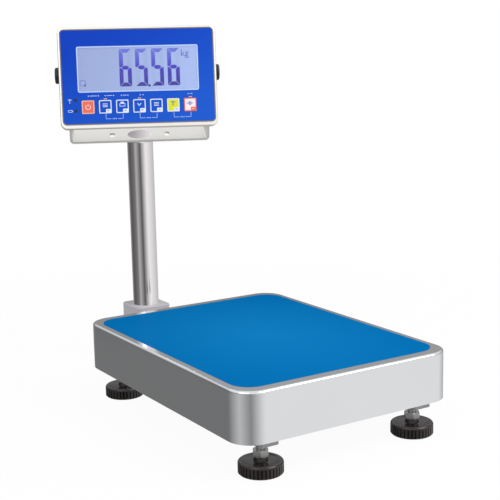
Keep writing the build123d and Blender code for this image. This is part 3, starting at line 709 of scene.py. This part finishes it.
def stroke_shape(letter, width, height, stroke, gap, thickness, at):
    """One stroke of a digit, mitred where it meets its neighbours and a gap short of them."""
    middle, size, cuts = stroke_form(letter, width, height, stroke)
    along_x = size[0] > size[1]
    shape = flat_plate(size[0] - gap * along_x, size[1] - gap * (not along_x))
    uncut = {(math.copysign(1, v.co.x), math.copysign(1, v.co.y)): v for v in shape.verts}
    for amount in (stroke, stroke / 2):
        bmesh.ops.bevel(
            shape,
            geom=[uncut[place] for place, cut in cuts.items() if cut == amount],
            offset=amount * 0.97,
            offset_type="OFFSET",
            segments=1,
            profile=0.5,
            affect="VERTICES",
            material=-1,
        )
    return lay(shape, thickness, Vector(at) + Vector((*middle, 0)))


# Operators
def paint(names, material):
    """Gives pieces of the CAD one material."""
    for name in names:
        slots = frame["nodes"][name].data.materials
        slots.clear()
        slots.append(material)


def corners():
    """The names of the platform's corners, where the feet are."""
    return [f"{end}_{side}" for end in ("front", "rear") for side in ("left", "right")]


class FinishMetals(bpy.types.Operator):
    """Gives the pan, column, bracket, base and screws their metals"""

    bl_idname = "scale.finish_metals"
    bl_label = "Finish metals"

    def execute(self, context):
        finishes = context.scene.scale_finishes
        rough = finishes.steel_roughness
        paint(["pan"], brushed_steel("Pan stainless", finishes.pan_steel, rough, "X"))
        paint(
            ["indicator_bracket"],
            brushed_steel("Bracket stainless", finishes.bracket_steel, rough + 0.3, "X"),
        )
        paint(
            ["indicator_bezel", "indicator_case"],
            brushed_steel("Bezel stainless", finishes.bezel_steel, rough + 0.2, "Z"),
        )
        tube = polished_tube("Tube", finishes.tube_steel)
        paint(["column_tube", "column_weld_collar"], tube)
        paint(
            ["base_frame", "load_frame", "column_carrier"],
            satin_paint("Frame paint", finishes.frame_paint, 0.38, 0.6),
        )
        paint(["column_socket"], satin_paint("Socket paint", finishes.socket_paint, 0.42))
        fittings = [
            "cell_base_spacer",
            "cell_top_spacer",
            "cell_base_screws",
            "cell_top_screws",
            "overload_stops",
            "overload_stop_nuts",
            "carrier_bolts",
            "carrier_nuts",
            "socket_screws",
            "socket_clamp_screw",
            "case_screws",
            "board_posts",
            "battery_strap",
            "tilt_knob_stud_left",
            "tilt_knob_stud_right",
        ]
        studs = ["foot_stud_" + corner for corner in corners()]
        paint(fittings + studs, plated("Zinc", finishes.zinc, 0.28))
        paint(["load_cell"], brushed_steel("Cell aluminium", (0.75, 0.75, 0.76), 0.32, "Y"))
        return {"FINISHED"}


class FinishPlastics(bpy.types.Operator):
    """Gives the feet, knobs, films and inner pieces their plastics"""

    bl_idname = "scale.finish_plastics"
    bl_label = "Finish plastics"

    def execute(self, context):
        finishes = context.scene.scale_finishes
        feet = ["foot_pad_" + corner for corner in corners()]
        paint(feet, moulded("Foot plastic", finishes.foot_black, 0.22, 0.0012))
        knobs = ["tilt_knob_left", "tilt_knob_right"]
        black = ["spirit_level_cup", "battery", "cable_gland", "charging_socket"]
        paint(knobs + black, moulded("Knob plastic", finishes.knob_black, 0.42))
        paint(["platform_pads", "tilt_washers"], moulded("Rubber", from_screen(32, 32, 33), 0.7))
        paint(
            ["platform_cover"],
            cover_sheet(
                "Cover film", finishes.cover_blue, finishes.cover_sheen_blue, finishes.cover_roughness
            ),
        )
        film = film_ink("Panel film", finishes.film_blue, finishes.film_low)
        paint(["front_film", "key_membrane"], film)
        paint(["display_module"], moulded("Display frame", from_screen(60, 66, 90), 0.4))
        paint(["main_board", "lamp_board"], circuit_board("Circuit board"))
        paint(["status_lamps"], moulded("Lamp", from_screen(18, 18, 30), 0.2))
        paint(["display_window"], clear_window("Display window"))
        paint(["spirit_level_vial"], clear_glass("Vial", (0.75, 0.95, 0.3)))
        return {"FINISHED"}


class MakeDisplay(bpy.types.Operator):
    """Makes the display's lit ground, digits, unit mark and corner mark"""

    bl_idname = "scale.make_display"
    bl_label = "Make display"

    def execute(self, context):
        art = context.scene.scale_artwork
        place = (0, WINDOW_MIDDLE, GROUND_DEPTH)
        ground = plate(WINDOW_WIDTH, WINDOW_HEIGHT, art.print_thickness, 1.8 * MM, place)
        finish_piece(
            "display_ground",
            ground,
            [display_ground("Display ground", art.glass_blue, art.glass_light)],
            "indicator",
            PANEL,
        )
        self.make_digits(art)
        return {"FINISHED"}

    def make_digits(self, art):
        thin = art.print_thickness
        low, high = (
            (PANEL @ Vector((0, DIGITS_MIDDLE + side * art.digit_height / 2, INK_DEPTH))).z
            for side in (-1, 1)
        )
        liquid = display_ink("Display ink", art.ink_deep, art.ink_pale, low, high)
        unlit_left, unlit_right = tinted(art.glass_blue, 0.94), tinted(art.glass_light, 0.95)
        ghost = display_ground("Display unlit", unlit_left, unlit_right)
        lit = []
        unlit = []
        place = FIRST_DIGIT
        size = (art.digit_width, art.digit_height, art.segment_width, STROKE_GAP)
        for mark in art.reading:
            if mark == ".":
                at = (place - art.digit_pitch / 2 - POINT_SHIFT, POINT_HEIGHT, INK_DEPTH)
                lit.append(plate(POINT_SIZE, POINT_SIZE, thin, 0.5 * MM, at))
                continue
            for letter in "abcdefg":
                target = lit if letter in SEGMENTS_OF[mark] else unlit
                at = (place, DIGITS_MIDDLE, INK_DEPTH)
                target.append(stroke_shape(letter, *size, thin, at))
            place += art.digit_pitch
        small = [
            letters("kg", 13.0 * MM, 0.04 * MM, thin, (66.5 * MM, 30.6 * MM, INK_DEPTH)),
            border(8 * MM, 8 * MM, 0.7 * MM, thin, 1 * MM, (-78 * MM, -8.4 * MM, INK_DEPTH)),
            plate(3 * MM, 3 * MM, thin, 0, (-75 * MM, -11.5 * MM, INK_DEPTH)),
        ]
        unit = ink("Unit ink", art.unit_ink)
        finish_piece("display_unit", join_shapes(small), [unit], "indicator", PANEL)
        finish_piece("display_digits", join_shapes(lit), [liquid], "indicator", PANEL)
        finish_piece("display_unlit", join_shapes(unlit), [ghost], "indicator", PANEL)


# A key's sloping edge, how far it is raised, and the room for ink under the CAD key's top
KEY_SLOPE, KEY_RISE, INK_ROOM = 0.5 * MM, 0.1 * MM, 0.02 * MM
TAB_WIDTH, TAB_HEIGHT, TAB_INK = 6.8 * MM, 4.8 * MM, 0.04 * MM


class MakeKeys(bpy.types.Operator):
    """Makes the embossed keys with their coloured fields and marks"""

    bl_idname = "scale.make_keys"
    bl_label = "Make keys"

    def execute(self, context):
        art = context.scene.scale_artwork
        finishes = context.scene.scale_finishes
        white = ink("Key white", art.print_white)
        orange = ink("Key orange", art.key_orange)
        blue = film_ink("Key blue", finishes.film_blue, finishes.film_low)
        fields = {1: orange, 6: ink("Key yellow", art.key_yellow), 7: ink("Key rose", art.key_rose)}
        borders = {1: ink("Key edge, pale orange", from_screen(252, 190, 170)), 7: orange}
        mark = ink("Key mark", from_screen(40, 70, 190))
        for number in range(1, 8):
            edge = borders.get(number, white)
            tab = orange if number == 7 else white
            self.make_key(number, art, [edge, fields.get(number, blue), tab, mark, white])
        return {"FINISHED"}

    def make_key(self, number, art, materials):
        node = f"key_{number}"
        inverse = PANEL.inverted()
        points = [inverse @ vertex.co for vertex in frame["nodes"][node].data.vertices]
        low = Vector([min(point[axis] for point in points) for axis in range(3)])
        high = Vector([max(point[axis] for point in points) for axis in range(3)])
        width, height = high.x - low.x, high.y - low.y
        shape = flat_plate(width, height, art.key_corner)
        thicken(shape, shape.faces[:], high.z - low.z - KEY_RISE - INK_ROOM)
        bmesh.ops.translate(shape, vec=(0, 0, low.z), verts=shape.verts)
        top = [face for face in shape.faces if face.normal.z > 0.9]
        bmesh.ops.inset_region(shape, faces=top, thickness=KEY_SLOPE, depth=KEY_RISE)
        bmesh.ops.inset_region(shape, faces=top, thickness=art.key_border - KEY_SLOPE)
        for face in top:
            face.material_index = 1
        parts = [shape]
        surface = high.z - INK_ROOM
        if number > 1:
            tab = (0.5 * width - 4.6 * MM, -0.5 * height + 3.6 * MM, surface)
            parts.append(plate(TAB_WIDTH, TAB_HEIGHT, TAB_INK, 0.8 * MM, tab, material=2))
            over = (tab[0], tab[1], surface + 0.03 * MM)
            tab_mark = 4 if number == 7 else 3
            parts.append(plate(3.0 * MM, 0.8 * MM, TAB_INK, 0, over, material=tab_mark))
        parts += self.marks(number, surface)
        centre = Matrix.Translation(((low.x + high.x) / 2, (low.y + high.y) / 2, 0))
        piece = finish_piece(
            f"{node}_cap",
            join_shapes(parts),
            materials,
            f"{node}_button",
            PANEL @ centre,
        )
        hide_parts(node)

    def marks(self, number, surface):
        """Plain symbols: a power ring, bars, a printer, an arrow head, a T and a barred zero."""
        thin = 0.05 * MM
        rise = 2.0 * MM
        if number == 1:
            ring = arc(3.4 * MM, 0.8 * MM, 2.2, 7.22, thin, (0, 0, surface), material=4)
            bar = plate(0.8 * MM, 3.6 * MM, thin, 0, (0, 2.6 * MM, surface), material=4)
            return [ring, bar]
        if number in (2, 5):
            return [
                plate(7 * MM, 0.8 * MM, thin, 0, (0, rise + step * MM, surface), material=4)
                for step in (-2, 0, 2)
            ]
        if number == 3:
            paper = (0, rise + 3.2 * MM, surface)
            return [
                border(8 * MM, 4.4 * MM, 0.7 * MM, thin, 0.6 * MM, (0, rise, surface), material=4),
                plate(4.6 * MM, 2.4 * MM, thin, 0, paper, material=4),
            ]
        if number == 4:
            return [
                plate(4.4 * MM, 1 * MM, thin, 0, (x * MM, rise, surface), turn=turn, material=4)
                for x, turn in ((-1.4, -0.95), (1.0, 0.95))
            ]
        if number == 6:
            return [
                plate(6 * MM, 1.1 * MM, thin, 0, (-0.5 * MM, rise + 2.4 * MM, surface), material=3),
                plate(1.2 * MM, 5 * MM, thin, 0, (-0.5 * MM, rise - 0.4 * MM, surface), material=3),
            ]
        return [
            plate(9 * MM, 0.8 * MM, thin, 0, (-0.3 * MM, rise, surface), material=3),
            border(3.4 * MM, 5 * MM, 0.8 * MM, thin, 1.2 * MM, (-0.3 * MM, rise, surface), material=3),
        ]


# Printed marks: places and lengths in millimetres from the film's middle, heights in metres
KEY_PAIRS = ((-47.4, -23.4), (0.4, 24.3), (48.4, 72.3))
BARS = ((-64.0, 14.0), (-41.6, 11.5), (-20.1, 9.0), (3.7, 4.0), (71.9, 5.0))
YELLOW_MARKS = (-47.4, 0.4, 72.3)
BAR_HEIGHT, YELLOW_HEIGHT = -26.5 * MM, -30.9 * MM
BRACKET_TOP, BRACKET_BOTTOM, BRACKET_GAP = -52.2 * MM, -59.0 * MM, 9.0 * MM
SYMBOL_PLACE, AERIAL_HEIGHT, BATTERY_HEIGHT = -97.0 * MM, -33.6 * MM, -47.2 * MM


class PrintFilm(bpy.types.Operator):
    """Prints the painted shadow line at the film's edge, the window's border, the lines under the keys
    and the small marks
    """

    bl_idname = "scale.print_film"
    bl_label = "Print film"

    def execute(self, context):
        art = context.scene.scale_artwork
        thin = art.print_thickness
        finishes = context.scene.scale_finishes
        pale = ink("Print pale", art.print_pale)
        yellow = ink("Print yellow", from_screen(240, 200, 60))
        width, height = WINDOW_WIDTH + 2 * MM, WINDOW_HEIGHT + 2 * MM
        window = border(width, height, 1.5 * MM, thin, 2.6 * MM, (0, WINDOW_MIDDLE, 0))
        finish_piece("window_border", window, [pale], "indicator", PANEL)
        # A thin brownish ring of painted shadow round the film's edge, where it meets the bezel.
        edge = ink("Film edge shadow", finishes.film_edge_shadow, 0.6)
        edge_shadow_ring = border(FILM_WIDTH, FILM_HEIGHT, 1.5 * MM, thin, FILM_CORNER, (0, 0, 0))
        finish_piece("film_edge_shadow", edge_shadow_ring, [edge], "indicator", PANEL)
        shapes = []
        for left, right in KEY_PAIRS:
            shapes += self.bracket(left * MM, right * MM, art)
        for x, wide in BARS:
            shapes += self.span_mark(x * MM, wide * MM, thin)
        shapes += self.symbols(thin)
        finish_piece("film_print", join_shapes(shapes), [pale], "indicator", PANEL)
        small = [
            plate(4.5 * MM, 1.0 * MM, thin, 0.3 * MM, (x * MM, YELLOW_HEIGHT, 0))
            for x in YELLOW_MARKS
        ]
        finish_piece("film_marks", join_shapes(small), [yellow], "indicator", PANEL)
        return {"FINISHED"}

    def span_mark(self, middle, wide, thin):
        """A bar between two dots, over a key."""
        ends = [
            dot(0.8 * MM, thin, (middle + side * wide / 2, BAR_HEIGHT, 0)) for side in (-1, 1)
        ]
        return ends + [plate(wide - 4 * MM, 0.8 * MM, thin, 0, (middle, BAR_HEIGHT, 0))]

    def bracket(self, left, right, art):
        """A square bracket that joins two keys, open in its middle."""
        thin = art.print_thickness
        line = art.line_width
        top, bottom = BRACKET_TOP, BRACKET_BOTTOM
        middle = (left + right) / 2
        run = (right - left - BRACKET_GAP) / 2
        parts = []
        for side, x in ((1, left), (-1, right)):
            parts.append(plate(line, top - bottom, thin, 0, (x, (top + bottom) / 2, 0)))
            parts.append(plate(run, line, thin, 0, (x + side * run / 2, bottom, 0)))
        for step in (-2.2, 0.0, 2.2):
            parts.append(dot(0.7 * MM, thin, (middle + step * MM, bottom, 0)))
        return parts

    def symbols(self, thin):
        """An aerial and a battery beside the two lamps."""
        aerial = (SYMBOL_PLACE, AERIAL_HEIGHT, 0)
        battery = (SYMBOL_PLACE, BATTERY_HEIGHT, 0)
        return [
            arc(3.0 * MM, 0.7 * MM, 0.6, 2.54, thin, aerial),
            arc(1.6 * MM, 0.7 * MM, 0.6, 2.54, thin, aerial),
            plate(0.8 * MM, 4.0 * MM, thin, 0, (SYMBOL_PLACE, AERIAL_HEIGHT - 0.8 * MM, 0)),
            border(6.0 * MM, 3.4 * MM, 0.7 * MM, thin, 0.6 * MM, battery),
            plate(1.0 * MM, 1.6 * MM, thin, 0, (SYMBOL_PLACE + 3.5 * MM, BATTERY_HEIGHT, 0)),
        ]


# How bright the studio is by heading, in degrees from the camera towards its right: a dark
# curtain on the left, a strip light, a dark gap at the camera and a bright wall on the right.
# The walls near the floor show in the pan's skirt, the low walls in the column
FLOOR_WALLS = ((-180, 0.2), (-110, 0.2), (-50, 0.6), (0, 0.3), (60, 0.9), (100, 0.9), (180, 0.2))
LOW_WALLS = (
    (-180, 0.5), (-110, 0.1), (-60, 0.2), (-40, 0.5), (0, 0.1), (50, 1.0), (120, 0.7), (180, 0.5),
)
HIGH_WALLS = ((-180, 0.22), (-110, 0.30), (-60, 0.75), (0, 1.0), (60, 0.9), (110, 0.45), (180, 0.22))
CEILING = (0.95, 0.95, 0.95)


class BuildStage(bpy.types.Operator):
    """Sets up the camera, the floor, the lamps and the studio's walls"""

    bl_idname = "scale.build_stage"
    bl_label = "Build stage"

    def execute(self, context):
        stage = context.scene.scale_stage
        self.add_camera(context.scene, stage)
        self.add_floor(stage)
        self.add_lamps()
        self.keep_platform_from_mirrors()
        self.light_world(context.scene, stage)
        context.scene.view_settings.view_transform = "Standard"
        return {"FINISHED"}

    def keep_platform_from_mirrors(self):
        """The polished column shows the studio only, and not the platform in front of it."""
        platform = [frame["bodies"][name] for name in ("base", "load_frame", "pan")]
        for node in frame["nodes"].values():
            if node.parent in platform:
                node.visible_glossy = False

    def add_camera(self, scene, stage):
        data = bpy.data.cameras.new("Camera")
        data.sensor_fit = "HORIZONTAL"
        data.sensor_width = 36.0
        data.lens = stage.focal_length
        data.clip_end = 50.0
        camera = bpy.data.objects.new("Camera", data)
        scene.collection.objects.link(camera)
        low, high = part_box("pan")
        top = Vector(((low.x + high.x) / 2, (low.y + high.y) / 2, high.z))
        camera.matrix_world = (
            Matrix.Translation(top + Vector(stage.place))
            @ Matrix.Rotation(-stage.turn, 4, "Z")
            @ Matrix.Rotation(math.pi / 2 - stage.look_down, 4, "X")
            @ Matrix.Rotation(-stage.roll, 4, "Z")
        )
        scene.camera = camera

    def add_floor(self, stage):
        shape = bmesh.new()
        bmesh.ops.create_grid(shape, x_segments=1, y_segments=1, size=stage.floor_width / 2)
        mesh = bpy.data.meshes.new("floor")
        shape.to_mesh(mesh)
        shape.free()
        floor = bpy.data.objects.new("floor", mesh)
        bpy.context.scene.collection.objects.link(floor)
        floor.visible_glossy = False
        finish = Finish("Floor", Base_Color=(0.95, 0.95, 0.95), Roughness=1.0)
        path = finish.add("ShaderNodeLightPath")
        seen = path.out("Is Camera Ray") + path.out("Is Transmission Ray")
        x = finish.along(finish.place(), (1, 0, 0))
        y = finish.along(finish.place(), (0, 1, 0))
        far = finish.soft_step(x * x + y * y, 0.1, 1.4)
        paper = finish.add("ShaderNodeEmission", None, {"Color": (1, 1, 1), "Strength": 1.0})
        output = finish.tree.nodes["Material Output"]
        whiteness = seen * finish.blend_numbers(far, stage.paper, 1.0)
        mixed = finish.add(
            "ShaderNodeMixShader",
            None,
            {0: whiteness, 1: Wire(finish, finish.shader.outputs[0]), 2: paper},
        )
        finish.tree.links.new(mixed.socket, output.inputs["Surface"])
        mesh.materials.append(finish.material)

    def add_lamps(self):
        for name, place, size, power in (
            ("key", (0.9, -1.4, 1.6), 1.2, 22.0),
            ("fill", (-1.6, -0.9, 1.3), 1.4, 6.0),
        ):
            light = bpy.data.lights.new(name, "AREA")
            light.size = size
            light.energy = power
            lamp = bpy.data.objects.new(name, light)
            bpy.context.scene.collection.objects.link(lamp)
            aim = Vector((0.0, 0.0, 0.15)) - Vector(place)
            lamp.matrix_world = (
                Matrix.Translation(place) @ aim.to_track_quat("-Z", "Y").to_matrix().to_4x4()
            )

    def light_world(self, scene, stage):
        """White for the camera, an even fill, and the bright and dark walls that steel shows."""
        world = bpy.data.worlds.new("Studio")
        world.use_nodes = True
        scene.world = world
        studio = NodeWork(world.node_tree)
        direction = studio.add("ShaderNodeTexCoord").out("Generated")
        front = studio.along(direction, (-math.sin(stage.turn), -math.cos(stage.turn), 0.0))
        right = studio.along(direction, (math.cos(stage.turn), -math.sin(stage.turn), 0.0))
        height = studio.along(direction, (0, 0, 1))
        heading = right.maths("ARCTAN2", right, front) / (2 * math.pi) + 0.5
        floor_wall = self.wall(studio, heading, FLOOR_WALLS)
        low_wall = self.wall(studio, heading, LOW_WALLS)
        low_wall = studio.mix(studio.soft_step(height, -0.27, -0.235), floor_wall, low_wall)
        high_wall = self.wall(studio, heading, HIGH_WALLS)
        ceiling = studio.mix(studio.soft_step(height, 0.15, 0.6), high_wall, CEILING)
        room = studio.mix(studio.soft_step(height, -0.10, 0.03), low_wall, ceiling)
        path = studio.add("ShaderNodeLightPath")
        seen = path.out("Is Camera Ray") + path.out("Is Transmission Ray")
        fill = (stage.fill, stage.fill, stage.fill)
        shown = studio.mix(path.out("Is Glossy Ray"), fill, room)
        shown = studio.mix(seen, shown, (1.0, 1.0, 1.0))
        studio.plug(world.node_tree.nodes["Background"].inputs["Color"], shown)

    def wall(self, studio, heading, levels):
        stops = [((angle + 180) / 360, (level, level, level)) for angle, level in levels]
        return studio.add("ShaderNodeValToRGB", {"stops": stops}, {"Fac": heading})


class ScalePanel(bpy.types.Panel):
    """Lists the pieces that can be made"""

    bl_idname = "VIEW3D_PT_scale"
    bl_label = "Platform scale"
    bl_space_type = "VIEW_3D"
    bl_region_type = "UI"
    bl_category = "Scale"

    def draw(self, context):
        for maker in MAKERS:
            self.layout.operator(maker.bl_idname)


MAKERS = (FinishMetals, FinishPlastics, MakeDisplay, MakeKeys, PrintFilm, BuildStage)
GROUPS = (ScaleFinishes, ScaleArtwork, ScaleStage)


def register():
    for item in GROUPS + MAKERS + (ScalePanel,):
        bpy.utils.register_class(item)
    bpy.types.Scene.scale_finishes = PointerProperty(type=ScaleFinishes)
    bpy.types.Scene.scale_artwork = PointerProperty(type=ScaleArtwork)
    bpy.types.Scene.scale_stage = PointerProperty(type=ScaleStage)


def unregister():
    del bpy.types.Scene.scale_stage
    del bpy.types.Scene.scale_artwork
    del bpy.types.Scene.scale_finishes
    for item in reversed(GROUPS + MAKERS + (ScalePanel,)):
        bpy.utils.unregister_class(item)


def main():
    register()
    bpy.ops.scale.finish_metals()
    bpy.ops.scale.finish_plastics()
    bpy.ops.scale.make_display()
    bpy.ops.scale.make_keys()
    bpy.ops.scale.print_film()
    bpy.ops.scale.build_stage()


if __name__ == "__main__":
    main()
